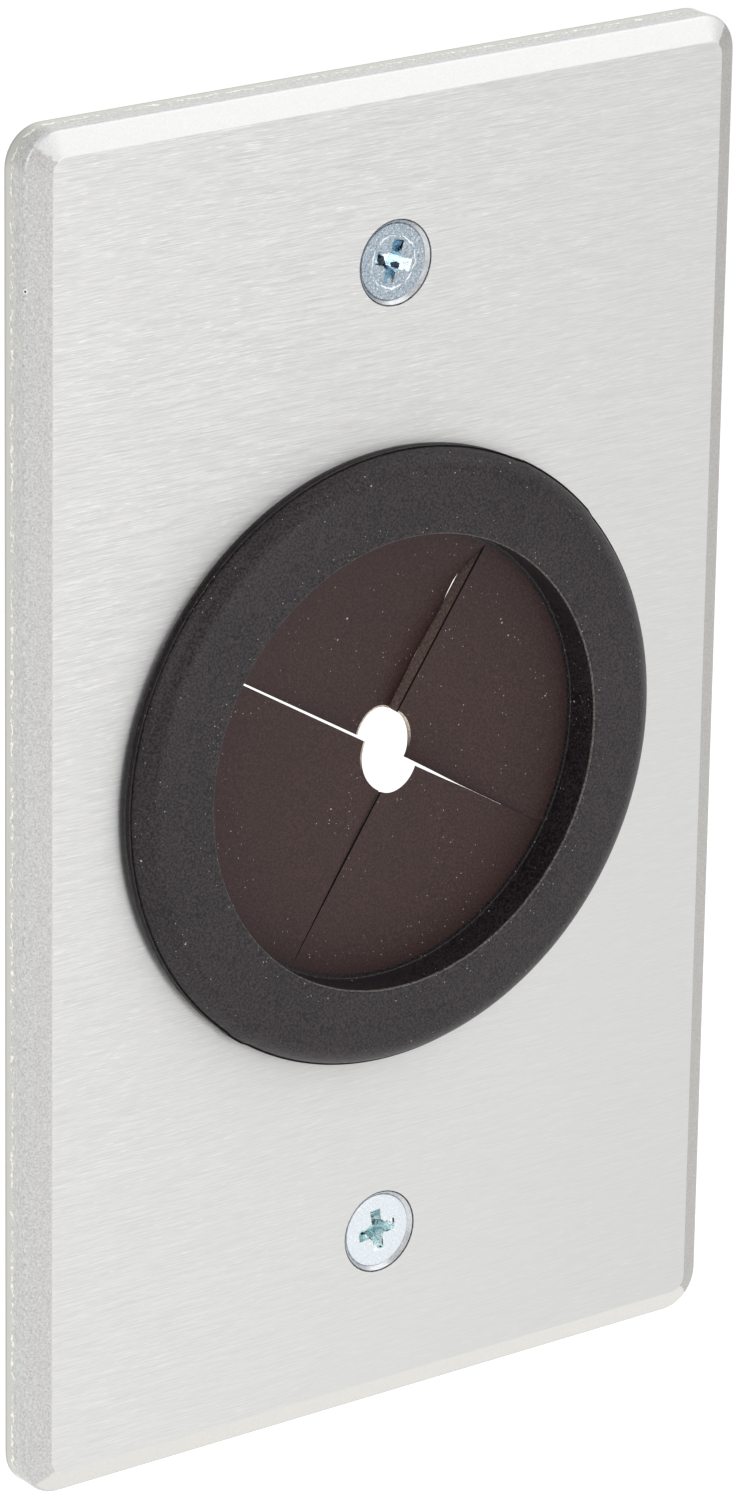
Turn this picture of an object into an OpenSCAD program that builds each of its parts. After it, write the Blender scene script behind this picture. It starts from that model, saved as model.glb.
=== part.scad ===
// Single-gang wall plate with a slit rubber cable grommet, held to a box by two countersunk screws.
// The middle of the plate's back face is the origin: the front looks along -Y, the top is +Z.
// Every piece is drawn lying down, with its front towards +Z, and stood up by stand_up().

/* [Plate] */
// Width of the plate
plate_w = 69.85; // [64:0.05:90]
// Height of the plate
plate_h = 114.3; // [105:0.1:140]
// Thickness of the plate
plate_t = 3.85; // [3:0.05:6]
// Radius of the plate's four corners
corner_r = 3.3; // [2.4:0.1:8]
// Width of the bevel round the front face
bevel_w = 2; // [0.4:0.1:3]
// Depth of the bevel round the front face
bevel_d = 1; // [0.2:0.1:2.4]

/* [Screws] */
// Distance between the two screws
screw_spacing = 83.34; // [80:0.02:94]
// Major diameter of the thread
thread_d = 3.5; // [3:0.1:4]
// Length of the screw from the top of its head to its tip
screw_l = 12.7; // [9:0.1:25]
// How far the bare neck between head and thread lies below the thread, all round
neck_relief = 0.25; // [0.1:0.01:0.5]
// Diameter of the head
head_d = 6.28; // [5.2:0.02:8]
// Height of the straight rim round the head
head_rim = 0.1; // [0.05:0.01:0.3]
// Full angle of the countersunk head and of its seat
head_angle = 82; // [70:1:100]
// How far the head lies below the plate's face
head_sink = 0.3; // [0.1:0.02:0.8]
// Room left between the head's cone and its seat
seat_gap = 0.02; // [0.01:0.01:0.1]
// Room left round the thread in the clearance hole behind the seat
thread_gap = 0.23; // [0.05:0.01:0.5]
// Length of the chamfer at the screw's tip
tip_l = 0.5; // [0.2:0.1:1.2]
// Span of the cross recess at the head's top
recess_span = 3.7; // [2.6:0.1:4.4]
// Span of the cross recess at its floor
recess_floor = 1.4; // [0.9:0.1:2]
// Width of each arm of the cross recess
recess_w = 1; // [0.5:0.05:1.2]
// Depth of the arms of the cross recess
recess_depth = 1.7; // [0.8:0.1:2.4]
// Diameter at the top of the recess's round core, where its arms meet
recess_core_d = 1.9; // [1.8:0.05:2.2]
// Diameter of that core at the depth of the arms
recess_core_floor_d = 1.1; // [0.8:0.05:1.4]
// Depth of the core's cone-shaped point below the arms
recess_point = 0.25; // [0.1:0.05:0.4]
// Turn of the cross recess in the top screw, anticlockwise where positive
recess_turn_top = -18; // [-45:1:45]
// Turn of the cross recess in the bottom screw
recess_turn_bottom = 7; // [-45:1:45]

/* [Grommet] */
// Diameter of the plate's hole for the grommet
hole_d = 44.45; // [42:0.05:52]
// How far the hole lies above the middle of the plate
hole_rise = 0.3; // [0:0.1:4]
// Room left round the grommet's neck in the hole
neck_gap = 0.1; // [0.05:0.05:0.4]
// Wall of the grommet's neck, between the plate's hole and the cable passage
neck_wall = 2.925; // [2:0.025:8]
// How far the front flange covers the plate round its hole
flange_lap = 3.875; // [2.5:0.025:6]
// Height of the front flange at its mouth
flange_h = 2.8; // [2.6:0.1:5]
// Radius of the front flange's rounded shoulder
shoulder_r = 2.2; // [1:0.1:2.3]
// Fall of the flange's face from its mouth outwards, in degrees
face_fall = 4; // [0:0.5:6]
// Radius of the rounded edge at the mouth
mouth_round = 0.25; // [0.1:0.05:0.8]
// How far the flange behind the plate reaches past the plate's hole
rear_lap = 2.175; // [1:0.025:5]
// Thickness of the flange behind the plate
rear_flange_t = 2.4; // [1:0.1:4]
// Lead-in taper on the rear flange's rim
rear_taper = 1.3; // [0.3:0.1:1.9]

/* [Slit membrane] */
// Depth of the membrane's face behind the mouth
mouth_depth = 3.2; // [2.8:0.1:5]
// Thickness of the membrane
membrane_t = 1.4; // [0.8:0.1:2.4]
// Width of the two crossed slits
slit_gap = 0.25; // [0.2:0.01:0.6]
// Turn of the crossed slits from the diagonals
slit_turn = 10; // [-40:1:40]
// Web left between the ends of the slits and the bore
slit_web = 0.4; // [0.2:0.1:2]
// Diameter of the round hole where the slits cross
cable_hole_d = 6.1; // [5:0.1:14]
// How much taller than round that hole is pulled
cable_hole_pull = 0.7; // [0:0.1:3]
// How much wider the hole is behind than in front, all round
cable_hole_flare = 1.1; // [0:0.1:2]
// Straight edge left in front of that flare
cable_hole_land = 0.3; // [0.1:0.05:0.6]
// Bend of the upper flap, in degrees, away from the viewer where positive
upper_flap_bend = 4.5; // [-7:0.5:7]
// Bend of the left flap
left_flap_bend = -2; // [-7:0.5:7]
// Bend of the lower flap
lower_flap_bend = -3; // [-7:0.5:7]
// Bend of the right flap
right_flap_bend = -1; // [-7:0.5:7]

/* [Hidden] */
$fn = 96;
// How far a cutter or a joining piece runs past the surface it meets
over = 1;
// How far a membrane piece reaches into the ring that carries it
bite = 0.2;
head_r = head_d / 2;
thread_r = thread_d / 2;
neck_r = thread_r - neck_relief;
screw_hole_r = thread_r + thread_gap;
half_angle = head_angle / 2;
head_top = plate_t - head_sink;
seat_r = head_r + seat_gap + (head_sink + head_rim) * tan(half_angle);
hole_r = hole_d / 2;
neck_outer_r = hole_r - neck_gap;
bore_r = neck_outer_r - neck_wall;
flange_r = hole_r + flange_lap;
rear_r = hole_r + rear_lap;
edge_z = plate_t - bevel_d;
mouth_z = plate_t + flange_h;
shoulder_x = flange_r - shoulder_r;
// The flange's sloping face runs from the mouth and touches the shoulder's circle
face_end_x = shoulder_x + shoulder_r * sin(face_fall);
face_end_z = mouth_z - (face_end_x - bore_r) * tan(face_fall);
shoulder_z = face_end_z - shoulder_r * cos(face_fall);
membrane_z = mouth_z - mouth_depth;
slit_r = bore_r - slit_web;
slit_inset = slit_gap / sqrt(2);
hinge_x = slit_r / sqrt(2);
FLAPS = [
    [90 + slit_turn, upper_flap_bend],
    [180 + slit_turn, left_flap_bend],
    [270 + slit_turn, lower_flap_bend],
    [slit_turn, right_flap_bend]
];

module stand_up() {
    rotate([90, 0, 0]) children();
}

// Bar of the plate: its full section, with a straight edge and a bevel on both long sides
module plate_bar(across, along) {
    rotate([90, 0, 0])
        linear_extrude(along, center = true)
            polygon([
                [-across / 2, 0], [across / 2, 0],
                [across / 2, edge_z], [across / 2 - bevel_w, plate_t],
                [bevel_w - across / 2, plate_t], [-across / 2, edge_z]
            ]);
}

// Round corner of the plate, with the bevel as a cone
module plate_corner() {
    rotate_extrude()
        polygon([
            [0, 0], [corner_r, 0], [corner_r, edge_z],
            [corner_r - bevel_w, plate_t], [0, plate_t]
        ]);
}

// Through hole and countersunk seat for one screw
module screw_seat() {
    seat_depth = (seat_r - screw_hole_r) / tan(half_angle);
    lift = over / tan(half_angle);
    translate([0, 0, -over]) cylinder(h = plate_t + 2 * over, r = screw_hole_r);
    translate([0, 0, plate_t - seat_depth])
        cylinder(h = seat_depth + lift, r1 = screw_hole_r, r2 = seat_r + over);
}

module wall_plate() {
    color("#c9cac8") stand_up() difference() {
        union() {
            plate_bar(plate_w, plate_h - 2 * corner_r);
            rotate([0, 0, 90]) plate_bar(plate_h, plate_w - 2 * corner_r);
            for (x = [-1, 1], y = [-1, 1])
                translate([x * (plate_w / 2 - corner_r), y * (plate_h / 2 - corner_r), 0])
                    plate_corner();
        }
        translate([0, hole_rise, -over]) cylinder(h = plate_t + 2 * over, r = hole_r);
        for (side = [-1, 1])
            translate([0, side * screw_spacing / 2, 0]) screw_seat();
    }
}

// Half section of the flange in front of the plate, with its sloping face and round shoulder
module front_flange_section() {
    difference() {
        union() {
            translate([bore_r, plate_t]) square([flange_r - bore_r, shoulder_z - plate_t]);
            translate([shoulder_x, shoulder_z]) circle(shoulder_r);
            polygon([
                [bore_r, shoulder_z], [shoulder_x, shoulder_z],
                [face_end_x, face_end_z], [bore_r, mouth_z]
            ]);
        }
        mouth_corner();
        translate([shoulder_x - shoulder_r, plate_t - shoulder_r])
            square([2 * shoulder_r, shoulder_r]);
    }
}

// What is cut away to round the edge where the sloping face meets the bore
module mouth_corner() {
    arc_x = bore_r + mouth_round;
    arc_z = mouth_z - mouth_round * (1 + sin(face_fall)) / cos(face_fall);
    difference() {
        polygon([
            [bore_r - over, arc_z], [arc_x, arc_z],
            [arc_x + mouth_round * sin(face_fall), arc_z + mouth_round * cos(face_fall)],
            [arc_x, mouth_z + over], [bore_r - over, mouth_z + over]
        ]);
        translate([arc_x, arc_z]) circle(mouth_round);
    }
}

// Half section of the neck in the hole and of the flange behind the plate
module rear_section() {
    translate([bore_r, -over]) square([neck_wall, plate_t + 2 * over]);
    polygon([
        [bore_r, 0], [rear_r, 0], [rear_r, rear_taper - rear_flange_t],
        [rear_r - rear_taper, -rear_flange_t], [bore_r, -rear_flange_t]
    ]);
}

// Cutter for the hole where the slits cross: a land in front and a flare behind, both pulled tall
module cable_hole() {
    for (side = [-1, 1])
        translate([0, side * cable_hole_pull / 2, -cable_hole_land]) {
            cylinder(h = cable_hole_land + over, d = cable_hole_d);
            translate([0, 0, -membrane_t])
                cylinder(
                    h = membrane_t,
                    r1 = cable_hole_d / 2 + cable_hole_flare,
                    r2 = cable_hole_d / 2
                );
        }
}

// One quarter of the membrane: a root that stays flat, a round fold and a bent blade
module flap(turn, bend) {
    half = hinge_x - slit_inset;
    far = bore_r + over;
    rotate([0, 0, turn]) {
        translate([0, 0, -membrane_t])
            linear_extrude(membrane_t)
                intersection() {
                    circle(slit_r + bite);
                    polygon([
                        [hinge_x, -half], [far, slit_inset - far],
                        [far, far - slit_inset], [hinge_x, half]
                    ]);
                }
        translate([hinge_x, 0, -membrane_t / 2]) {
            rotate([90, 0, 0]) cylinder(h = 2 * half, d = membrane_t, center = true);
            rotate([0, -bend, 0])
                translate([-hinge_x, 0, membrane_t / 2])
                    difference() {
                        translate([0, 0, -membrane_t])
                            linear_extrude(membrane_t)
                                polygon([[slit_inset, 0], [hinge_x, -half], [hinge_x, half]]);
                        rotate([0, 0, -turn]) cable_hole();
                    }
        }
    }
}

module grommet() {
    color("#3d3b3d") stand_up() translate([0, hole_rise, 0]) {
        rotate_extrude() {
            front_flange_section();
            rear_section();
            translate([slit_r, membrane_z - membrane_t])
                square([slit_web + bite, membrane_t]);
        }
        translate([0, 0, membrane_z])
            for (f = FLAPS) flap(f[0], f[1]);
    }
}

// Arm of the cross recess, deep in the middle and sloping up to both ends
module recess_arm() {
    rotate([90, 0, 0])
        linear_extrude(recess_w, center = true)
            polygon([
                [-recess_floor / 2, -recess_depth], [recess_floor / 2, -recess_depth],
                [recess_span / 2, 0], [recess_span / 2, over],
                [-recess_span / 2, over], [-recess_span / 2, 0]
            ]);
}

// Cross recess: two crossed arms, and a round core that tapers down to a point
module cross_recess() {
    core_taper = (recess_core_d - recess_core_floor_d) / 2 / recess_depth;
    for (arm = [0, 90]) rotate([0, 0, arm]) recess_arm();
    translate([0, 0, -recess_depth])
        cylinder(
            h = recess_depth + over,
            r1 = recess_core_floor_d / 2,
            r2 = recess_core_d / 2 + over * core_taper
        );
    translate([0, 0, -recess_depth - recess_point])
        cylinder(h = recess_point, r1 = 0, r2 = recess_core_floor_d / 2);
}

// Flat-head machine screw, its head's top at the level head_top
module screw(recess_turn) {
    cone_h = (head_r - neck_r) / tan(half_angle);
    neck_top = head_top - head_rim - cone_h;
    tip_z = head_top - screw_l;
    color("#aebcc6") difference() {
        union() {
            translate([0, 0, head_top - head_rim]) cylinder(h = head_rim, r = head_r);
            translate([0, 0, neck_top]) cylinder(h = cone_h, r1 = neck_r, r2 = head_r);
            translate([0, 0, -tip_l]) cylinder(h = neck_top + tip_l, r = neck_r);
            translate([0, 0, tip_z + tip_l]) cylinder(h = -tip_z - tip_l, r = thread_r);
            translate([0, 0, tip_z]) cylinder(h = tip_l, r1 = thread_r - tip_l, r2 = thread_r);
        }
        translate([0, 0, head_top]) rotate([0, 0, recess_turn]) cross_recess();
    }
}

module screw_top() {
    stand_up() translate([0, screw_spacing / 2, 0]) screw(recess_turn_top);
}

module screw_bottom() {
    stand_up() translate([0, -screw_spacing / 2, 0]) screw(recess_turn_bottom);
}

wall_plate();
grommet();
screw_top();
screw_bottom();
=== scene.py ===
import math

import bmesh
import bpy
from mathutils import Matrix, Vector, noise


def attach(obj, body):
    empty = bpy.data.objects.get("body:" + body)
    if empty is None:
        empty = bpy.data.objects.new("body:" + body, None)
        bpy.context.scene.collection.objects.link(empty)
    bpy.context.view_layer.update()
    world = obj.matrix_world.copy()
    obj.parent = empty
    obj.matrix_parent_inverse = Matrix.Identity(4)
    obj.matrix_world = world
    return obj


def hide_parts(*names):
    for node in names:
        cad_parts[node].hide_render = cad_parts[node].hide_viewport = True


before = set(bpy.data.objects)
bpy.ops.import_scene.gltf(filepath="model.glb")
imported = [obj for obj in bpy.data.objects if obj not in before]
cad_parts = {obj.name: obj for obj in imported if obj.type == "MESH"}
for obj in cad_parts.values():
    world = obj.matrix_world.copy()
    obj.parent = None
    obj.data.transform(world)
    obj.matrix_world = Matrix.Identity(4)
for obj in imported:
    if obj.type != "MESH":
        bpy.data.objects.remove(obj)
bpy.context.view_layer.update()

# Viewpoint. The plate stands upright on white, and is seen from its left front and from a little
# above, through a long lens that keeps its edges almost parallel.
mm = 0.001
view_turn = math.radians(-37.155)
view_height = math.radians(19.778)
view_roll = math.radians(0.919)
view_distance = 624.56 * mm
aim_right = -0.705 * mm
aim_up = 0.430 * mm

view_back = Vector((
    math.sin(view_turn) * math.cos(view_height),
    -math.cos(view_turn) * math.cos(view_height),
    math.sin(view_height),
))
level_right = Vector((math.cos(view_turn), math.sin(view_turn), 0))
level_up = view_back.cross(level_right)
view_right = level_right * math.cos(view_roll) + level_up * math.sin(view_roll)
view_up = level_up * math.cos(view_roll) - level_right * math.sin(view_roll)

camera_data = bpy.data.cameras.new("camera")
camera_data.lens = 184.27
camera_data.sensor_width = 36
camera_data.clip_start = 10 * mm
camera = bpy.data.objects.new("camera", camera_data)
camera.matrix_world = Matrix((view_right, view_up, view_back)).transposed().to_4x4()
camera.location = view_back * view_distance - view_right * aim_right - view_up * aim_up
bpy.context.scene.collection.objects.link(camera)
bpy.context.scene.camera = camera

# Studio. A plain white floor well below the part, and soft white air all round. Large lamps stand in
# front, overhead and on the left, and one behind whitens the floor there.
bpy.context.scene.view_settings.view_transform = "Standard"
floor_level = -160 * mm
floor_half = 4.0
air_strength = 0.75
floor_glow = 0.24
lamps = {
    "front_lamp": {"place": (0.18, -0.70, 0.02), "aim": (0, 0, 0), "size": 0.42, "watts": 0.7},
    "top_lamp": {"place": (0.34, -0.30, 0.46), "aim": (0, 0, 0), "size": 0.55, "watts": 0.73},
    "left_lamp": {"place": (-0.60, -0.20, 0.36), "aim": (0, 0, 0), "size": 0.45, "watts": 0.67},
    "back_lamp": {"place": (0.30, 0.42, 0.22), "aim": (0.30, 0.42, 0), "size": 0.45, "watts": 0.4},
}


def node(tree, kind, inputs=(), **settings):
    """Add a shader node. Its inputs go by name or number to a value or to another node's socket."""
    made = tree.nodes.new("ShaderNode" + kind)
    for name, value in settings.items():
        setattr(made, name, value)
    for name, value in dict(inputs).items():
        if isinstance(value, bpy.types.NodeSocket):
            tree.links.new(value, made.inputs[name])
        else:
            made.inputs[name].default_value = value
    return made


def new_material(name, colour, roughness, metallic=0):
    """A material with its shader's even values set. Returns it, its node tree and its shader."""
    material = bpy.data.materials.new(name)
    material.use_nodes = True
    shader = material.node_tree.nodes["Principled BSDF"]
    shader.inputs["Base Color"].default_value = (*colour, 1)
    shader.inputs["Roughness"].default_value = roughness
    shader.inputs["Metallic"].default_value = metallic
    return material, material.node_tree, shader


def new_piece(name, shape, materials):
    """Turn a finished bmesh into a piece of the scene, and free the bmesh."""
    mesh = bpy.data.meshes.new(name)
    shape.to_mesh(mesh)
    shape.free()
    for material in materials:
        mesh.materials.append(material)
    piece = bpy.data.objects.new(name, mesh)
    bpy.context.scene.collection.objects.link(piece)
    return piece


world = bpy.data.worlds.new("white_air")
world.use_nodes = True
world.node_tree.nodes["Background"].inputs["Color"].default_value = (1, 1, 1, 1)
world.node_tree.nodes["Background"].inputs["Strength"].default_value = air_strength
bpy.context.scene.world = world

for name, lamp in lamps.items():
    lamp_data = bpy.data.lights.new(name, "AREA")
    lamp_data.size = lamp["size"]
    lamp_data.energy = lamp["watts"]
    lamp_object = bpy.data.objects.new(name, lamp_data)
    lamp_object.location = lamp["place"]
    lamp_object.rotation_mode = "QUATERNION"
    throw = Vector(lamp["place"]) - Vector(lamp["aim"])
    lamp_object.rotation_quaternion = throw.to_track_quat("Z", "Y")
    lamp_object.visible_camera = False
    bpy.context.scene.collection.objects.link(lamp_object)

floor_finish, floor_tree, floor_shader = new_material("white_floor", (0.9, 0.9, 0.9), 0.8)
floor_shader.inputs["Emission Color"].default_value = (1, 1, 1, 1)
floor_shader.inputs["Emission Strength"].default_value = floor_glow
floor_shape = bmesh.new()
bmesh.ops.create_grid(floor_shape, x_segments=1, y_segments=1, size=floor_half)
bmesh.ops.translate(floor_shape, verts=floor_shape.verts, vec=(0, 0, floor_level))
new_piece("floor", floor_shape, [floor_finish])

# Wall plate. One sheet of aluminium, blanked in a press, bevelled round its front edge, then brushed
# across its width. It has a round hole for the grommet and a countersunk seat for each screw.
plate_t = 3.85 * mm
bevel_level = -2.85 * mm
hole_centre = Vector((0, 0, 0.3 * mm))
hole_zone = 22.4 * mm
seat_zone = 3.7 * mm
screw_places = [Vector((0, 0, side * 41.67 * mm)) for side in (1, -1)]
level_room = 0.05 * mm
sharp_turn = math.radians(15)
tear_level = -1.1 * mm
tear_step = 0.3 * mm
tear_rag = 0.35 * mm
tear_lean = 0.03 * mm
pit_place = (-34.87 * mm, -2.88 * mm, 44.74 * mm)
# Level of each outer edge of the plate, and the width of its rounding
outer_edges = [(bevel_level, 0.26 * mm), (0, 0.22 * mm), (-plate_t, 0.06 * mm)]


def grain_group():
    """Drawn-out grain on Object coordinates. Stretch is how many grains fit in a metre each way."""
    group = bpy.data.node_groups.new("metal_grain", "ShaderNodeTree")
    face = group.interface
    face.new_socket("Stretch", in_out="INPUT", socket_type="NodeSocketVector")
    face.new_socket("Waver", in_out="INPUT", socket_type="NodeSocketFloat")
    face.new_socket("Grain", in_out="OUTPUT", socket_type="NodeSocketFloat")
    face.new_socket("Fleck", in_out="OUTPUT", socket_type="NodeSocketFloat")
    ins = group.nodes.new("NodeGroupInput").outputs
    outs = group.nodes.new("NodeGroupOutput").inputs
    place = node(group, "TexCoord").outputs["Object"]
    drift = node(group, "TexNoise", {"Vector": place, "Scale": 60.0, "Detail": 1.0})
    push = node(group, "VectorMath", {0: drift.outputs["Color"], "Scale": ins["Waver"]},
                operation="SCALE")
    bent = node(group, "VectorMath", {0: place, 1: push.outputs[0]}, operation="ADD")
    drawn = node(group, "VectorMath", {0: bent.outputs[0], 1: ins["Stretch"]}, operation="MULTIPLY")
    coarse = node(group, "TexNoise", {"Vector": drawn.outputs[0], "Scale": 1.0, "Detail": 4.0,
                                      "Roughness": 0.65})
    other = node(group, "VectorMath", {0: drawn.outputs[0], 1: (2.3, 2.3, 2.3)}, operation="MULTIPLY")
    fine = node(group, "TexNoise", {"Vector": other.outputs[0], "Scale": 1.0, "Detail": 1.0})
    fleck = node(group, "MapRange", {"Value": fine.outputs[0], "From Min": 0.64, "From Max": 0.72})
    group.links.new(coarse.outputs[0], outs["Grain"])
    group.links.new(fleck.outputs[0], outs["Fleck"])
    return group


metal_grain = grain_group()


def mix_colours(tree, factor, first, second):
    """Mix two colours by a factor, each a value or a socket."""
    return node(tree, "Mix", {0: factor, 6: first, 7: second}, data_type="RGBA").outputs[2]


def metal(name, dark, light, fleck_colour, stretch, waver, gloss, relief):
    """A metal finish: grain runs from dark to light, with flecks, in colour, gloss and height."""
    material, tree, shader = new_material(name, light, gloss[0], 1)
    grain = node(tree, "Group", node_tree=metal_grain)
    grain.inputs["Stretch"].default_value = stretch
    grain.inputs["Waver"].default_value = waver
    spread = node(tree, "MapRange", {"Value": grain.outputs["Grain"], "From Min": 0.3, "From Max": 0.7})
    tone = mix_colours(tree, spread.outputs[0], (*dark, 1), (*light, 1))
    tone = mix_colours(tree, grain.outputs["Fleck"], tone, (*fleck_colour, 1))
    rough = node(tree, "MapRange", {"Value": spread.outputs[0], "To Min": gloss[0], "To Max": gloss[1]})
    bump = node(tree, "Bump", {"Height": grain.outputs["Grain"], "Strength": relief[0],
                               "Distance": relief[1]})
    tree.links.new(tone, shader.inputs["Base Color"])
    tree.links.new(rough.outputs[0], shader.inputs["Roughness"])
    tree.links.new(bump.outputs[0], shader.inputs["Normal"])
    return material


def draw_out(material, amount, along):
    """Stretch a metal's highlight along a direction, as brush marks square to it do."""
    tree = material.node_tree
    shader = tree.nodes["Principled BSDF"]
    shader.inputs["Anisotropic"].default_value = amount
    tangent = node(tree, "CombineXYZ", {"X": along[0], "Y": along[1], "Z": along[2]})
    tree.links.new(tangent.outputs[0], shader.inputs["Tangent"])


def torn_edge(material):
    """Make the torn back part of a sheared edge smoother and paler, with bright flecks at its start that
    are painted glints.
    """
    tree = material.node_tree
    shader = tree.nodes["Principled BSDF"]
    tone = shader.inputs["Base Color"].links[0].from_socket
    place = node(tree, "TexCoord").outputs["Object"]
    depth = node(tree, "SeparateXYZ", {"Vector": place}).outputs["Y"]
    rag = node(tree, "TexNoise", {"Vector": place, "Scale": 1400.0, "Detail": 4.0, "Roughness": 0.7})
    ragged = node(tree, "Math", {0: rag.outputs[0], 1: 1.6 * mm, 2: depth}, operation="MULTIPLY_ADD")
    middle = tear_level + 0.8 * mm
    behind = node(tree, "MapRange", {"Value": ragged.outputs[0], "From Min": middle,
                                     "From Max": middle + 0.1 * mm})
    tone = mix_colours(tree, behind.outputs[0], tone, (0.64, 0.635, 0.60, 1))
    # Painted glints: broken warm-white flecks along the ragged line where the tear starts.
    off_line = node(tree, "Math", {0: ragged.outputs[0], 1: middle}, operation="SUBTRACT")
    off_line = node(tree, "Math", {0: off_line.outputs[0]}, operation="ABSOLUTE")
    fleck = node(tree, "MapRange", {"Value": off_line.outputs[0], "From Min": 0.04 * mm,
                                    "From Max": 0.16 * mm, "To Min": 1.0, "To Max": 0.0})
    gaps = node(tree, "TexNoise", {"Vector": place, "Scale": 2300.0, "Detail": 2.0})
    broken = node(tree, "MapRange", {"Value": gaps.outputs[0], "From Min": 0.47, "From Max": 0.56})
    painted_highlight_mask = node(tree, "Math", {0: fleck.outputs[0], 1: broken.outputs[0]}, operation="MULTIPLY")
    tone = mix_colours(tree, painted_highlight_mask.outputs[0], tone, (1.0, 0.98, 0.88, 1))
    last = node(tree, "MapRange", {"Value": depth, "From Min": -0.45 * mm, "From Max": -0.25 * mm})
    tone = mix_colours(tree, last.outputs[0], tone, (0.50, 0.49, 0.45, 1))
    tree.links.new(tone, shader.inputs["Base Color"])
    return material


def paint_side_shading(material, left, right, top, bottom):
    """Darken a finish on the left and right edges, up to ragged mitres, with painted shade of its own tone
    on each side. Even out the other two, each to its own painted tone.
    """
    tree = material.node_tree
    shader = tree.nodes["Principled BSDF"]
    tone = shader.inputs["Base Color"].links[0].from_socket
    place = node(tree, "TexCoord").outputs["Object"]
    parts = node(tree, "SeparateXYZ", {"Vector": place})
    across = node(tree, "Math", {0: parts.outputs["X"]}, operation="ABSOLUTE")
    upward = node(tree, "Math", {0: parts.outputs["Z"]}, operation="ABSOLUTE")
    inward = node(tree, "Math", {0: across.outputs[0], 1: upward.outputs[0]}, operation="SUBTRACT")
    rag = node(tree, "TexNoise", {"Vector": place, "Scale": 2500.0, "Detail": 2.0})
    ragged = node(tree, "Math", {0: rag.outputs[0], 1: 1.2 * mm, 2: inward.outputs[0]},
                  operation="MULTIPLY_ADD")
    mitre = (69.85 - 114.3) / 2 * mm + 0.6 * mm
    side = node(tree, "MapRange", {"Value": ragged.outputs[0], "From Min": mitre - 0.15 * mm,
                                   "From Max": mitre + 0.15 * mm})
    on_right = node(tree, "Math", {0: parts.outputs["X"], 1: 0.0}, operation="GREATER_THAN")
    grey = mix_colours(tree, on_right.outputs[0], (*left, 1), (*right, 1))
    toned = node(tree, "Mix", {0: 1.0, 6: tone, 7: grey}, data_type="RGBA", blend_type="MULTIPLY")
    is_top = node(tree, "Math", {0: parts.outputs["Z"], 1: 0.0}, operation="GREATER_THAN")
    even = mix_colours(tree, is_top.outputs[0], (*bottom, 1), (*top, 1))
    smooth = mix_colours(tree, 0.75, tone, even)
    tone = mix_colours(tree, side.outputs[0], smooth, toned.outputs[2])
    tree.links.new(tone, shader.inputs["Base Color"])


def paint_pit_shade_and_burr_highlight(material, centre):
    """Mark a small pit: a painted dark spot for the shade in its hollow, and a painted bright ring for the
    highlight on the burr round it.
    """
    tree = material.node_tree
    shader = tree.nodes["Principled BSDF"]
    tone = shader.inputs["Base Color"].links[0].from_socket
    place = node(tree, "TexCoord").outputs["Object"]
    away = node(tree, "VectorMath", {0: place, 1: centre}, operation="DISTANCE")
    burr = node(tree, "MapRange", {"Value": away.outputs["Value"], "From Min": 0.15 * mm,
                                   "From Max": 0.26 * mm, "To Min": 0.8, "To Max": 0.0})
    deep = node(tree, "MapRange", {"Value": away.outputs["Value"], "From Min": 0.09 * mm,
                                   "From Max": 0.14 * mm, "To Min": 1.0, "To Max": 0.0})
    tone = mix_colours(tree, burr.outputs[0], tone, (1.0, 1.0, 1.0, 1))
    tone = mix_colours(tree, deep.outputs[0], tone, (0.05, 0.05, 0.05, 1))
    tree.links.new(tone, shader.inputs["Base Color"])


def paint_sheen_falloff(material, even):
    """Paint the fall-off of the face's sheen: the brushed grain fades to an even tone from the face's
    upper left to its lower right.
    """
    tree = material.node_tree
    shader = tree.nodes["Principled BSDF"]
    tone = shader.inputs["Base Color"].links[0].from_socket
    place = node(tree, "TexCoord").outputs["Object"]
    along = node(tree, "VectorMath", {0: place, 1: (14, 0, -9)}, operation="DOT_PRODUCT")
    fade = node(tree, "MapRange", {"Value": along.outputs["Value"], "From Min": -0.5, "From Max": 0.5,
                                   "To Min": 0.0, "To Max": 0.7})
    tone = mix_colours(tree, fade.outputs[0], tone, (*even, 1))
    tree.links.new(tone, shader.inputs["Base Color"])


plate_finishes = [
    metal("brushed_face", (0.575, 0.571, 0.566), (0.81, 0.806, 0.80), (0.92, 0.92, 0.92),
          (300, 3000, 11000), 0.0006, (0.44, 0.52), (0.35, 0.02 * mm)),
    metal("satin_bevel", (0.54, 0.54, 0.54), (0.90, 0.90, 0.89), (1.0, 1.0, 1.0),
          (6000, 6000, 6000), 0.0, (0.36, 0.52), (0.9, 0.03 * mm)),
    torn_edge(metal("blanked_edge", (0.46, 0.46, 0.45), (0.74, 0.74, 0.72), (1.0, 0.99, 0.93),
                    (3200, 4200, 3200), 0.0, (0.36, 0.50), (0.8, 0.03 * mm))),
    metal("mill_back", (0.66, 0.66, 0.66), (0.74, 0.74, 0.74), (0.80, 0.80, 0.80),
          (2500, 2500, 90), 0.0005, (0.40, 0.50), (0.2, 0.02 * mm)),
    metal("turned_seat", (0.50, 0.52, 0.54), (0.72, 0.73, 0.75), (0.9, 0.9, 0.9),
          (3000, 6000, 3000), 0.0, (0.22, 0.34), (0.3, 0.02 * mm)),
    # Painted shade: the seats' rounded rims are near black, for the dark line of shade round each seat.
    metal("seat_rim_painted_shade", (0.015, 0.015, 0.02), (0.12, 0.125, 0.13), (0.3, 0.3, 0.3),
          (2500, 2500, 2500), 0.0, (0.3, 0.4), (0.3, 0.02 * mm)),
    metal("worn_edge", (0.48, 0.48, 0.48), (0.88, 0.88, 0.89), (1.0, 1.0, 1.0),
          (4200, 4200, 4200), 0.0, (0.30, 0.45), (1.0, 0.04 * mm)),
]
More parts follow.
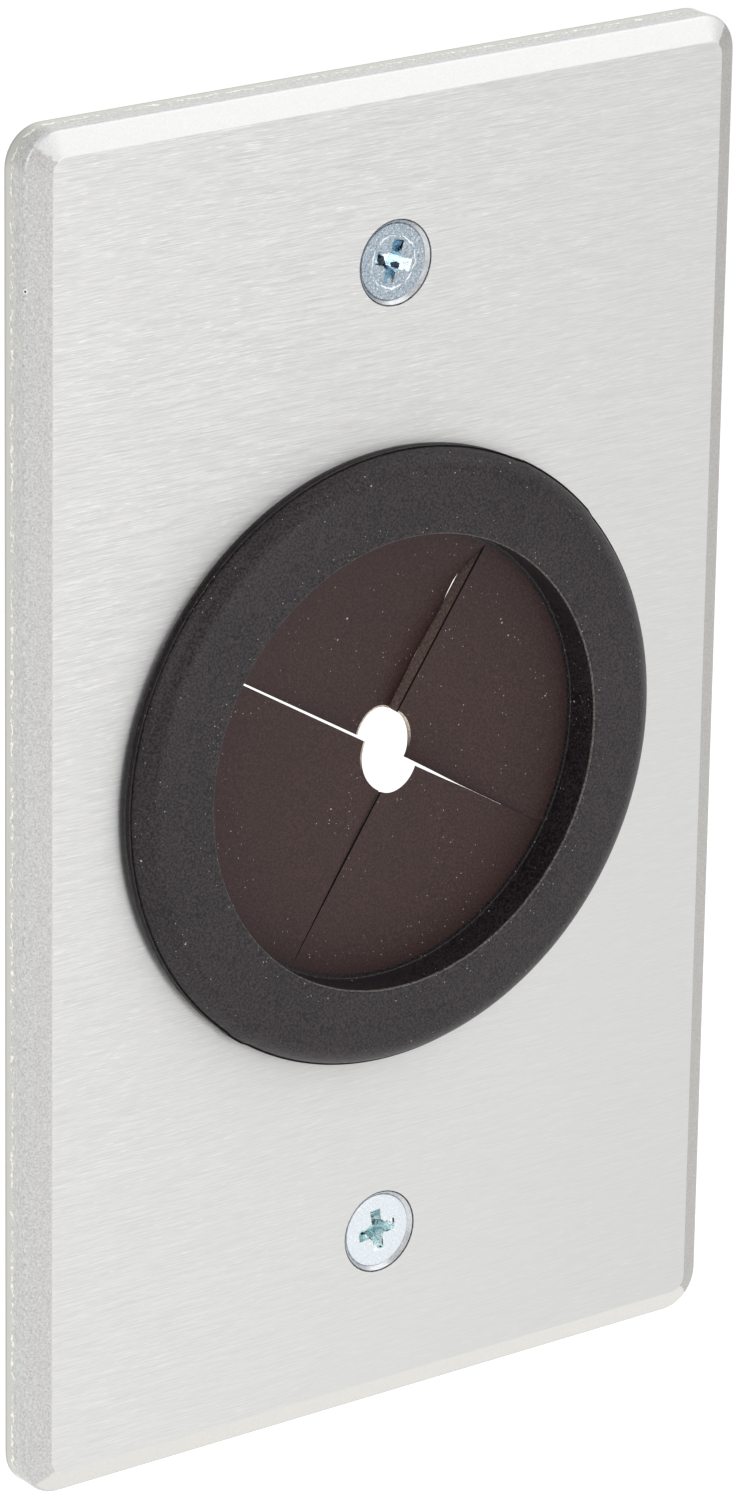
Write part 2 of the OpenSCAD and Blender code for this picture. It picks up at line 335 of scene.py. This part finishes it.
draw_out(plate_finishes[0], 0.9, (0, 0, 1))
# Painted light: the face's sheen falls off towards its lower right, shown as grain that fades to an even
# tone.
paint_sheen_falloff(plate_finishes[0], (0.71, 0.708, 0.70))
# Painted light: the bevel and its rounded edge get a tone for each side, the right darker than the left
# and the bottom darker than the top, as the light falls on each.
paint_side_shading(plate_finishes[1], (0.80, 0.79, 0.78), (0.65, 0.64, 0.62),
           (0.78, 0.78, 0.77), (0.71, 0.70, 0.66))
paint_side_shading(plate_finishes[6], (0.86, 0.86, 0.85), (0.76, 0.75, 0.73),
           (0.78, 0.78, 0.78), (0.60, 0.59, 0.56))
# A real pit, drawn only in colour: the shade in it and the highlight on its burr are painted.
for finish in (plate_finishes[1], plate_finishes[2], plate_finishes[6]):
    paint_pit_shade_and_burr_highlight(finish, pit_place)


def edge_turn(edge):
    """Angle between the two faces of an edge, or 0 where it has not two."""
    return edge.calc_face_angle(0) if len(edge.link_faces) == 2 else 0


def copy_of_node(name):
    """A bmesh of a CAD node, with its loose triangles joined and its flat faces made whole."""
    shape = bmesh.new()
    shape.from_mesh(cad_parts[name].data)
    bmesh.ops.remove_doubles(shape, verts=shape.verts, dist=0.001 * mm)
    bmesh.ops.dissolve_limit(shape, angle_limit=math.radians(0.6), verts=shape.verts,
                             edges=shape.edges)
    return shape


def soften(shape, edges, width, segments):
    """Round the given edges to a small radius, and return the faces that this makes."""
    made = bmesh.ops.bevel(shape, geom=edges, offset=width, segments=segments, profile=0.5,
                           affect="EDGES", material=-1, clamp_overlap=True)
    return made["faces"]


def near(point, centre, reach):
    """True where a point lies within reach of a centre, seen from the front."""
    return math.hypot(point.x - centre.x, point.z - centre.z) < reach


def in_hole(point):
    """True on the wall of the big hole or of a screw seat."""
    return near(point, hole_centre, hole_zone) or any(near(point, s, seat_zone) for s in screw_places)


plate_shape = copy_of_node("wall_plate")
# The press sheared the front part of the edge smooth and tore the rest, along a ragged line
cut = bmesh.ops.bisect_plane(
    plate_shape, geom=plate_shape.verts[:] + plate_shape.edges[:] + plate_shape.faces[:],
    plane_co=(0, tear_level, 0), plane_no=(0, 1, 0),
)["geom_cut"]
for edge in [g for g in cut if isinstance(g, bmesh.types.BMEdge)]:
    if edge.calc_length() > plate_t and not in_hole(edge.verts[0].co):
        steps = round(edge.calc_length() / tear_step)
        bmesh.ops.subdivide_edges(plate_shape, edges=[edge], cuts=steps - 1)
for vert in plate_shape.verts:
    if abs(vert.co.y - tear_level) < level_room and not in_hole(vert.co):
        ripple = noise.noise(vert.co * 900) * tear_rag + noise.noise(vert.co * 3300) * tear_rag / 2
        vert.co.y += ripple
        vert.co.x -= math.copysign(tear_lean, vert.co.x)
        vert.co.z -= math.copysign(tear_lean, vert.co.z)
for level, width in outer_edges:
    edge_faces = soften(plate_shape, [
        e for e in plate_shape.edges
        if edge_turn(e) > sharp_turn
        and all(abs(v.co.y - level) < level_room for v in e.verts)
        and not in_hole(e.verts[0].co)
    ], width, 4)
    if level == bevel_level:
        for face in edge_faces:
            face.material_index = 6
rim_faces = soften(plate_shape, [
    e for e in plate_shape.edges
    if edge_turn(e) > sharp_turn and in_hole(e.verts[0].co) and abs(e.verts[0].co.y + plate_t) < level_room
], 0.07 * mm, 3)
plate_shape.normal_update()
for face in plate_shape.faces:
    face.smooth = True
    towards_viewer = -face.normal.y
    if face.material_index == 6:
        continue
    if towards_viewer > 0.985:
        face.material_index = 0
    elif all(in_hole(v.co) for v in face.verts):
        face.material_index = 4
    elif towards_viewer > 0.6:
        face.material_index = 1
    elif towards_viewer > -0.9:
        face.material_index = 2
    else:
        face.material_index = 3
# The seats' rims take the near-black finish that paints the shade round each seat.
for face in rim_faces:
    face.material_index = 5
plate = new_piece("brushed_plate", plate_shape, plate_finishes)
even_shading = plate.modifiers.new("even_shading", "WEIGHTED_NORMAL")
even_shading.weight = 100
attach(plate, "root")
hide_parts("wall_plate")

# Grommet. One moulding of soft black rubber, pushed into the plate's hole: a rounded flange in front,
# a neck in the hole, a flange behind, and a thin membrane that was slit twice after moulding.
spin_steps = 240
bore_r = 19.2 * mm
slit_end_r = 18.8 * mm
hole_r = 3.2 * mm
hole_flare = 1.4 * mm
lip_width = 0.16 * mm
membrane_front = 3.45 * mm
membrane_back = 2.05 * mm
flange_r = 26.1 * mm
mouth_level = 6.65 * mm
rim_level = 6.168 * mm
neck_r = 22.125 * mm
rear_r = 24.4 * mm
rear_t = 2.4 * mm
rear_taper = 1.3 * mm
seam_height = 0.03 * mm
# Low lips of flash on the flange's edge: (first turn, last turn, how far it stands out)
flash_lips = [(41.5, 62, 0.10 * mm), (230.5, 236, 0.10 * mm)]
membrane_cuts = 15
same_place = 0.02 * mm
# Where the two cuts cross, to the right of the middle and above it
cross_shift = Vector((0.56 * mm, 0, -0.05 * mm))
# Each flap by the turn at which it starts: how far its tip stands forward at its first and last slit,
# and how fast it leaves the rim, from even (0) to early (3)
flaps = [
    {"name": "right", "start": -30.1, "forward": (-1.87, -1.30), "early": 0},
    {"name": "upper", "start": 58.0, "forward": (-2.57, -0.87), "early": 2.4},
    {"name": "left", "start": 148.6, "forward": (0.37, 0.68), "early": 0},
    {"name": "lower", "start": 241.1, "forward": (0.92, -0.10), "early": 0},
]
# Behind, the hole is flared towards its lower right, so that its wall there hides from the viewer
flare_turn = -40
flare_reach = 95
flare_fade = 5 * mm
# Half the opening of each slit, along its way from rim to hole: (share of the way, opening in mm)
slit_openings = [
    [(0, 0.01), (0.48, 0.01), (0.75, 0.1), (1, 0.14)],
    [(0, 0.01), (0.08, 0.08), (0.15, 0.26), (0.26, 0.25), (0.36, 0.09), (0.43, 0.008), (1, 0.006)],
    [(0, 0.06), (0.1, 0.08), (1, 0.1)],
    [(0, 0.03), (1, 0.05)],
]
# Part of each opening that is cut from the flap after it, the rest being cut from the one before
after_share = [0.5, 1, 0.5, 0.5]
rubber_dark = (0.004, 0.003, 0.004)
rubber_light = (0.036, 0.028, 0.032)
membrane_dark = (0.030, 0.014, 0.013)
membrane_light = (0.050, 0.026, 0.024)
# Painted light: the cut faces get a lit brown tone, far paler than the black rubber they are cut from.
lit_cut_dark = (0.13, 0.088, 0.078)
lit_cut_light = (0.24, 0.168, 0.150)
worn_dark = (0.05, 0.045, 0.042)
worn_light = (0.15, 0.14, 0.13)
# Painted highlight: the cut lip round the hole is pale cream, for the bright light on it, far paler than
# the black rubber.
lip_highlight_dark = (0.40, 0.32, 0.25)
lip_highlight_light = (0.70, 0.62, 0.52)


def dust_group():
    """Tiny pale specks of dust: a mask that is white on each speck. Sparse is the share left clean."""
    group = bpy.data.node_groups.new("dust_specks", "ShaderNodeTree")
    face = group.interface
    face.new_socket("Specks per metre", in_out="INPUT", socket_type="NodeSocketFloat")
    face.new_socket("Sparse", in_out="INPUT", socket_type="NodeSocketFloat")
    face.new_socket("Speck", in_out="OUTPUT", socket_type="NodeSocketFloat")
    ins = group.nodes.new("NodeGroupInput").outputs
    outs = group.nodes.new("NodeGroupOutput").inputs
    place = node(group, "TexCoord").outputs["Object"]
    cells = node(group, "TexVoronoi", {"Vector": place, "Scale": ins["Specks per metre"]})
    pick = node(group, "SeparateColor", {"Color": cells.outputs["Color"]})
    size = node(group, "MapRange", {"Value": pick.outputs[0], "To Min": 0.02, "To Max": 0.13})
    inside = node(group, "Math", {0: cells.outputs["Distance"], 1: size.outputs[0]},
                  operation="LESS_THAN")
    clouds = node(group, "TexNoise", {"Vector": place, "Scale": 90.0, "Detail": 2.0})
    crowd = node(group, "MapRange", {"Value": clouds.outputs[0], "From Min": 0.35, "From Max": 0.65,
                                     "To Min": 0.15, "To Max": -0.15})
    bar = node(group, "Math", {0: ins["Sparse"], 1: crowd.outputs[0]}, operation="ADD")
    chosen = node(group, "Math", {0: pick.outputs[1], 1: bar.outputs[0]}, operation="GREATER_THAN")
    speck = node(group, "Math", {0: inside.outputs[0], 1: chosen.outputs[0]}, operation="MULTIPLY")
    group.links.new(speck.outputs[0], outs["Speck"])
    return group


dust_specks = dust_group()


def rubber(name, dark, light, roughness):
    """Moulded rubber: a soft cloudy tone, a fine mottled skin, and dust specks of two sizes."""
    material, tree, shader = new_material(name, light, roughness)
    shader.inputs["Specular IOR Level"].default_value = 0.3
    place = node(tree, "TexCoord").outputs["Object"]
    clouds = node(tree, "TexNoise", {"Vector": place, "Scale": 130.0, "Detail": 3.0})
    skin = node(tree, "TexNoise", {"Vector": place, "Scale": 5200.0, "Detail": 4.0})
    mottle = node(tree, "MapRange", {"Value": skin.outputs[0], "From Min": 0.3, "From Max": 0.7,
                                     "To Min": -0.6, "To Max": 1.1})
    blend = node(tree, "Math", {0: clouds.outputs[0], 1: 0.5, 2: mottle.outputs[0]},
                 operation="MULTIPLY_ADD", use_clamp=True)
    tone = mix_colours(tree, blend.outputs[0], (*dark, 1), (*light, 1))
    dust = node(tree, "Group", {"Specks per metre": 2600.0, "Sparse": 0.62}, node_tree=dust_specks)
    motes = node(tree, "Group", {"Specks per metre": 1300.0, "Sparse": 0.94}, node_tree=dust_specks)
    both = node(tree, "Math", {0: dust.outputs[0], 1: motes.outputs[0]}, operation="MAXIMUM")
    tone = mix_colours(tree, both.outputs[0], tone, (0.40, 0.38, 0.36, 1))
    bump = node(tree, "Bump", {"Height": skin.outputs[0], "Strength": 0.4, "Distance": 0.02 * mm})
    tree.links.new(tone, shader.inputs["Base Color"])
    tree.links.new(bump.outputs[0], shader.inputs["Normal"])
    return material


def paint_gap_shade(material):
    """Paint shade on a cut: near black on the front part of its face, beside the gap. The mesh's UV runs
    from 0 at the front to 1 behind.
    """
    tree = material.node_tree
    shader = tree.nodes["Principled BSDF"]
    tone = shader.inputs["Base Color"].links[0].from_socket
    place = node(tree, "UVMap", uv_map="cut_depth").outputs["UV"]
    depth = node(tree, "SeparateXYZ", {"Vector": place}).outputs["Y"]
    gap_shade = node(tree, "MapRange", {"Value": depth, "From Min": 0.12, "From Max": 0.2,
                                    "To Min": 1.0, "To Max": 0.0})
    tone = mix_colours(tree, gap_shade.outputs[0], tone, (0.006, 0.004, 0.004, 1))
    tree.links.new(tone, shader.inputs["Base Color"])
    return material


def paint_shade_below(material, colour):
    """Paint shade on a finish: it fades to a darker colour from the hole's upper half to its lower half.
    """
    tree = material.node_tree
    shader = tree.nodes["Principled BSDF"]
    tone = shader.inputs["Base Color"].links[0].from_socket
    place = node(tree, "TexCoord").outputs["Object"]
    height = node(tree, "SeparateXYZ", {"Vector": place}).outputs["Z"]
    above = node(tree, "MapRange", {"Value": height, "From Min": -0.5 * mm, "From Max": 1.5 * mm})
    tone = mix_colours(tree, above.outputs[0], (*colour, 1), tone)
    tree.links.new(tone, shader.inputs["Base Color"])
    return material


grommet_finishes = [
    rubber("moulded_rubber", rubber_dark, rubber_light, 0.38),
    rubber("membrane_rubber", membrane_dark, membrane_light, 0.6),
    paint_gap_shade(rubber("cut_rubber_painted_light", lit_cut_dark, lit_cut_light, 0.8)),
    paint_shade_below(rubber("cut_lip_painted_highlight", lip_highlight_dark, lip_highlight_light, 0.8), membrane_light),
    rubber("worn_rubber_edge", worn_dark, worn_light, 0.5),
]


def turn_of(point):
    """Turn of a point about the grommet's axis, in degrees from +X towards +Z."""
    return math.degrees(math.atan2(point.z, point.x))


def turn_between(turn, start):
    """How far a turn lies past a start, from -180 to 180."""
    return (turn - start + 180) % 360 - 180


def radius_of(point):
    return math.hypot(point.x, point.z)


def blend_through(stops, share):
    """Value at a share of the way through (share, value) stops."""
    for (a, low), (b, high) in zip(stops, stops[1:]):
        if share <= b:
            step = (share - a) / (b - a)
            return low + (high - low) * step * step * (3 - 2 * step)
    return stops[-1][1]


def rounded(corners, steps):
    """Points of a closed outline from its corners (radius, height, rounding), rounded by arcs."""
    points = []
    for i, (r, h, rounding) in enumerate(corners):
        corner = Vector((r, h))
        if not rounding:
            points.append(corner)
            continue
        to_last = (Vector(corners[i - 1][:2]) - corner).normalized()
        to_next = (Vector(corners[(i + 1) % len(corners)][:2]) - corner).normalized()
        half = to_last.angle(to_next) / 2
        centre = corner + (to_last + to_next).normalized() * rounding / math.sin(half)
        first = corner + to_last * rounding / math.tan(half) - centre
        last = corner + to_next * rounding / math.tan(half) - centre
        points += [centre + first.slerp(last, step / steps) * rounding for step in range(steps + 1)]
    return points


# Half section as (radius, height in front of the plate's back, rounding)
section = rounded([
    (flange_r, plate_t, 0),
    (flange_r, plate_t + 0.75 * mm, 0),
    (flange_r + seam_height, plate_t + 0.81 * mm, 0),
    (flange_r + seam_height, plate_t + 0.87 * mm, 0),
    (flange_r, plate_t + 0.93 * mm, 0),
    (flange_r, rim_level, 2.2 * mm),
    (bore_r, mouth_level, 0.25 * mm),
    (bore_r, membrane_front, 0.12 * mm),
    (slit_end_r, membrane_front, 0),
    (hole_r + lip_width, membrane_front, 0),
    (hole_r, membrane_front, 0),
    (hole_r + 0.02 * mm, membrane_front - 0.06 * mm, 0),
    (hole_r + 0.08 * mm, membrane_back, 0),
    (hole_r + 0.08 * mm + lip_width, membrane_back, 0),
    (slit_end_r, membrane_back, 0),
    (bore_r, membrane_back, 0.12 * mm),
    (bore_r, -rear_t, 0.2 * mm),
    (rear_r - rear_taper, -rear_t, 0.3 * mm),
    (rear_r, rear_taper - rear_t, 0.3 * mm),
    (rear_r, 0, 0),
    (neck_r, 0, 0),
    (neck_r, plate_t, 0),
], 10)
grommet_shape = bmesh.new()
cut_depth = grommet_shape.loops.layers.uv.new("cut_depth")
outline = [grommet_shape.verts.new((point.x, -point.y, 0)) for point in section]
for i, vert in enumerate(outline):
    grommet_shape.edges.new((outline[i - 1], vert))
membrane_spans = [e for e in grommet_shape.edges if e.calc_length() > slit_end_r / 2]
bmesh.ops.subdivide_edges(grommet_shape, edges=membrane_spans, cuts=membrane_cuts)
first_turn = Matrix.Rotation(math.radians(30), 3, "Y")
bmesh.ops.rotate(grommet_shape, verts=grommet_shape.verts, matrix=first_turn)
bmesh.ops.spin(grommet_shape, geom=grommet_shape.verts[:] + grommet_shape.edges[:], cent=(0, 0, 0),
               axis=(0, -1, 0), angle=math.tau, steps=spin_steps, use_merge=True)
bmesh.ops.remove_doubles(grommet_shape, verts=grommet_shape.verts, dist=0.0005 * mm)
bmesh.ops.recalc_face_normals(grommet_shape, faces=grommet_shape.faces)


def in_membrane(point):
    """True on the membrane's two faces and on the wall of its hole, out to the ends of the slits."""
    between = membrane_back - same_place < -point.y < membrane_front + same_place
    return between and radius_of(point) < slit_end_r + same_place


def on_slit(point, turn):
    return in_membrane(point) and abs(turn_between(turn_of(point), turn)) < 0.1


even_starts = [-30, 60, 150, 240]
knife_path = [
    e for e in grommet_shape.edges
    if any(all(on_slit(v.co, turn) for v in e.verts) for turn in even_starts)
]
bmesh.ops.split_edges(grommet_shape, edges=knife_path)


def side_of(vert, turn):
    """On which side of a slit a vertex's faces lie: +1, -1, or 0 at the slit's end."""
    sides = {turn_between(turn_of(f.calc_center_median()), turn) > 0 for f in vert.link_faces}
    return 0 if len(sides) == 2 else (1 if sides.pop() else -1)


for turn in even_starts:
    sides = {v: side_of(v, turn) for v in grommet_shape.verts if on_slit(v.co, turn)}
    for side in (1, -1):
        chain = [v for v, found in sides.items() if found in (0, side)]
        front = [v for v in chain if abs(v.co.y + membrane_front) < same_place]
        back = [v for v in chain if abs(v.co.y + membrane_back) < same_place]
        lip = [v for v in chain if v not in front and v not in back]
        front.sort(key=lambda v: -radius_of(v.co))
        back.sort(key=lambda v: -radius_of(v.co))
        walls = [
            grommet_shape.faces.new((front[i], front[i + 1], back[i + 1], back[i]))
            for i in range(len(front) - 1)
        ]
        walls.append(grommet_shape.faces.new((front[-1], *lip, back[-1])))
        # The cut walls take the cut rubber, with its painted light and the painted shade along its front.
        for wall in walls:
            wall.material_index = 2
            for corner in wall.loops:
                corner[cut_depth].uv = (0, 1 if corner.vert in back else 0)
bmesh.ops.recalc_face_normals(grommet_shape, faces=grommet_shape.faces)

for face in grommet_shape.faces:
    face.smooth = True
    if face.material_index == 0 and all(in_membrane(v.co) for v in face.verts):
        # Faces at the hole's edge take the pale lip, a painted highlight.
        on_hole = all(radius_of(v.co) < hole_r + 0.2 * mm for v in face.verts)
        face.material_index = 3 if on_hole else 1
    if all(radius_of(v.co) < bore_r + 0.14 * mm and v.co.y < 0.26 * mm - mouth_level
           for v in face.verts):
        face.material_index = 4


def flap_of(vert):
    """Which quarter a vertex belongs to, told by its faces, and its share of the way round it."""
    centre = Vector()
    for face in vert.link_faces:
        centre += face.calc_center_median()
    quarter = int((turn_of(centre) + 30) % 360 // 90)
    return quarter, turn_between(turn_of(vert.co), even_starts[quarter]) / 90


moves = []
for vert in grommet_shape.verts:
    quarter, round_share = flap_of(vert)
    here = flaps[quarter]
    after = flaps[(quarter + 1) % 4]
    span = (after["start"] - here["start"]) % 360
    radius = radius_of(vert.co)
    share = 0
    if in_membrane(vert.co):
        share = (slit_end_r - radius) / (slit_end_r - hole_r)
        share = max(share, 0)
    inset = [0, 0]
    if share > 0:
        for end, slit in enumerate((quarter, (quarter + 1) % 4)):
            gap = blend_through(slit_openings[slit], min(share, 1)) * 2 * mm
            cut_off = gap * (1 - after_share[slit] if end else after_share[slit])
            inset[end] = math.degrees(math.asin(cut_off / radius))
    turn = here["start"] + inset[0] + (span - inset[0] - inset[1]) * round_share
    if share > 0 and abs(vert.co.y + membrane_back) < same_place:
        away = abs(turn_between(turn, flare_turn)) / flare_reach
        close = 1 - (radius - hole_r) / flare_fade
        radius += hole_flare * max(0, 1 - away) * max(0, close)
    rise = share
    if here["early"]:
        rise = (1 - math.exp(-here["early"] * share)) / (1 - math.exp(-here["early"]))
    if radius > flange_r - 1.5 * mm:
        for first, last, lip_out in flash_lips:
            if first < turn % 360 < last:
                radius += lip_out
    forward = here["forward"][0] + (here["forward"][1] - here["forward"][0]) * round_share
    moves.append(
        Vector((math.cos(math.radians(turn)) * radius, vert.co.y - forward * rise * mm,
                math.sin(math.radians(turn)) * radius)) + cross_shift * share + hole_centre
    )
for vert, place in zip(grommet_shape.verts, moves):
    vert.co = place
for edge in grommet_shape.edges:
    if edge_turn(edge) > math.radians(35):
        edge.smooth = False
grommet = new_piece("rubber_grommet", grommet_shape, grommet_finishes)
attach(grommet, "root")
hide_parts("grommet")

# Screws. Two countersunk machine screws of steel with a cross recess, cold headed, their threads
# rolled on, then plated with blue-white zinc. They hold the plate to the box in the wall.
thread_r = 1.75 * mm
root_r = 1.38 * mm
thread_pitch = 0.794 * mm
thread_length = 8.65 * mm
tip_level = 9.15 * mm
steps_a_turn = 24
ring_r = 2.15 * mm
head_level = -3.55 * mm


def zinc_head_with_painted_light(name, dark, light, centre, ring):
    """Zinc plate on a screw, with a bright ring round its recess as strong as given: a painted highlight
    on the raised edge of the recess.
    """
    material = metal(name, dark, light, (0.95, 0.98, 1.0), (4200, 4200, 4200), 0.0, (0.22, 0.38),
                     (0.5, 0.02 * mm))
    tree = material.node_tree
    shader = tree.nodes["Principled BSDF"]
    tone = shader.inputs["Base Color"].links[0].from_socket
    place = node(tree, "TexCoord").outputs["Object"]
    offset = node(tree, "VectorMath", {0: place, 1: tuple(centre)}, operation="SUBTRACT")
    flat = node(tree, "VectorMath", {0: offset.outputs[0], 1: (1, 0, 1)}, operation="MULTIPLY")
    radius = node(tree, "VectorMath", {0: flat.outputs[0]}, operation="LENGTH")
    rag = node(tree, "TexNoise", {"Vector": place, "Scale": 1500.0, "Detail": 2.0})
    ragged = node(tree, "Math", {0: rag.outputs[0], 1: 0.5 * mm, 2: radius.outputs["Value"]},
                  operation="MULTIPLY_ADD")
    off_ring = node(tree, "Math", {0: ragged.outputs[0], 1: ring_r + 0.25 * mm}, operation="SUBTRACT")
    off_ring = node(tree, "Math", {0: off_ring.outputs[0]}, operation="ABSOLUTE")
    mark = node(tree, "MapRange", {"Value": off_ring.outputs[0], "From Min": 0.03 * mm,
                                   "From Max": 0.07 * mm, "To Min": ring, "To Max": 0.0})
    gaps = node(tree, "TexNoise", {"Vector": place, "Scale": 1100.0, "Detail": 2.0})
    broken = node(tree, "MapRange", {"Value": gaps.outputs[0], "From Min": 0.40, "From Max": 0.52})
    painted_highlight_mask = node(tree, "Math", {0: mark.outputs[0], 1: broken.outputs[0]}, operation="MULTIPLY")
    painted_ring_tone = mix_colours(tree, painted_highlight_mask.outputs[0], tone, (0.95, 0.97, 1.0, 1))
    tree.links.new(painted_ring_tone, shader.inputs["Base Color"])
    return material


def paint_shade_and_glints(material, dark, pale):
    """Break a finish up into small facets, some painted near black as shade and some painted white as
    glints.
    """
    tree = material.node_tree
    shader = tree.nodes["Principled BSDF"]
    tone = shader.inputs["Base Color"].links[0].from_socket
    place = node(tree, "TexCoord").outputs["Object"]
    cells = node(tree, "TexVoronoi", {"Vector": place, "Scale": 1500.0})
    pick = node(tree, "SeparateColor", {"Color": cells.outputs["Color"]})
    is_shaded_facet = node(tree, "Math", {0: pick.outputs[0], 1: dark}, operation="LESS_THAN")
    is_glint = node(tree, "Math", {0: pick.outputs[0], 1: 1 - pale}, operation="GREATER_THAN")
    tone = mix_colours(tree, is_shaded_facet.outputs[0], tone, (0.04, 0.05, 0.06, 1))
    tone = mix_colours(tree, is_glint.outputs[0], tone, (1.0, 1.0, 1.0, 1))
    tree.links.new(tone, shader.inputs["Base Color"])
    return material


# Tones of each head from dark to light, the top screw's painted darker than the bottom one's though both
# are one zinc, strength of its ring, which is a painted highlight, and tones and facets of its recess,
# painted bright and blue for reflection, with facets of painted shade and glints
head_painted_tones = {
    "screw_top": ((0.17, 0.21, 0.25), (0.47, 0.54, 0.60), 0.85,
                  (0.50, 0.66, 0.76), (0.78, 0.90, 0.98), (0.12, 0.28)),
    "screw_bottom": ((0.62, 0.665, 0.70), (0.74, 0.785, 0.82), 0.0,
                     (0.52, 0.68, 0.70), (0.78, 0.88, 0.89), (0.10, 0.22)),
}


def thread_ridge(shape, centre):
    """Wind the thread's ridge round the core, as a closed helix."""
    start = 0.35 * thread_pitch
    ridge = [
        shape.verts.new((centre.x + root_r - 0.05 * mm, start - 0.32 * thread_pitch, centre.z)),
        shape.verts.new((centre.x + thread_r, start - 0.06 * thread_pitch, centre.z)),
        shape.verts.new((centre.x + thread_r, start + 0.06 * thread_pitch, centre.z)),
        shape.verts.new((centre.x + root_r - 0.05 * mm, start + 0.40 * thread_pitch, centre.z)),
    ]
    profile = shape.faces.new(ridge)
    turns = int(thread_length / thread_pitch - 0.6)
    bmesh.ops.spin(shape, geom=[profile, *profile.edges, *profile.verts], cent=centre, axis=(0, 1, 0),
                   dvec=(0, thread_pitch / steps_a_turn, 0), angle=math.tau * turns,
                   steps=steps_a_turn * turns)


for name, centre in zip(("screw_top", "screw_bottom"), screw_places):
    screw_shape = copy_of_node(name)
    bmesh.ops.bisect_plane(screw_shape, geom=screw_shape.verts[:] + screw_shape.edges[:]
                           + screw_shape.faces[:], plane_co=(0, -0.01 * mm, 0), plane_no=(0, 1, 0),
                           clear_outer=True)
    for inner, outer, width in ((0, 2.5 * mm, 0.04 * mm), (3 * mm, 4 * mm, 0.08 * mm)):
        soften(screw_shape, [
            e for e in screw_shape.edges
            if edge_turn(e) > math.radians(25) and abs(e.verts[0].co.y - head_level) < level_room
            and abs(e.verts[1].co.y - head_level) < level_room
            and inner < radius_of(e.verts[0].co - centre) < outer
        ], width, 3)
    end = [e for e in screw_shape.edges if e.is_boundary]
    for level, radius in ((0.12 * mm, root_r), (tip_level - 0.5 * mm, root_r), (tip_level, 1.2 * mm)):
        made = bmesh.ops.extrude_edge_only(screw_shape, edges=end)["geom"]
        end = [g for g in made if isinstance(g, bmesh.types.BMEdge)]
        for vert in [g for g in made if isinstance(g, bmesh.types.BMVert)]:
            out = (vert.co - centre).xz.normalized() * radius
            vert.co = (centre.x + out.x, level, centre.z + out.y)
    bmesh.ops.holes_fill(screw_shape, edges=end, sides=0)
    thread_ridge(screw_shape, centre)
    bmesh.ops.recalc_face_normals(screw_shape, faces=screw_shape.faces)
    screw_shape.normal_update()
    for face in screw_shape.faces:
        face.smooth = True
        middle = face.calc_center_median()
        # Faces deep in the recess take their own finish, whose bright blue tones are painted reflection.
        deep = middle.y > head_level + 0.03 * mm and radius_of(middle - centre) < 2.1 * mm
        face.material_index = 1 if deep and middle.y < -0.5 * mm else 0
    for edge in screw_shape.edges:
        if edge_turn(edge) > math.radians(35):
            edge.smooth = False
    dark, light, ring, recess_reflection_dark, recess_reflection_light, facets = head_painted_tones[name]
    painted_zinc = zinc_head_with_painted_light("zinc_" + name, dark, light, centre, ring)
    # The recess finish carries painted light: bright blue tones of reflection, broken into facets of
    # painted shade and glints.
    recess_painted_reflection = paint_shade_and_glints(
        metal("recess_" + name, recess_reflection_dark, recess_reflection_light, (1.0, 1.0, 1.0),
              (1300, 1300, 1300), 0.0, (0.10, 0.22), (0.8, 0.08 * mm)), *facets)
    screw = new_piece("zinc_" + name, screw_shape, [painted_zinc, recess_painted_reflection])
    even_shading = screw.modifiers.new("even_shading", "WEIGHTED_NORMAL")
    even_shading.weight = 100
    even_shading.keep_sharp = True
    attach(screw, "root")
    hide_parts(name)
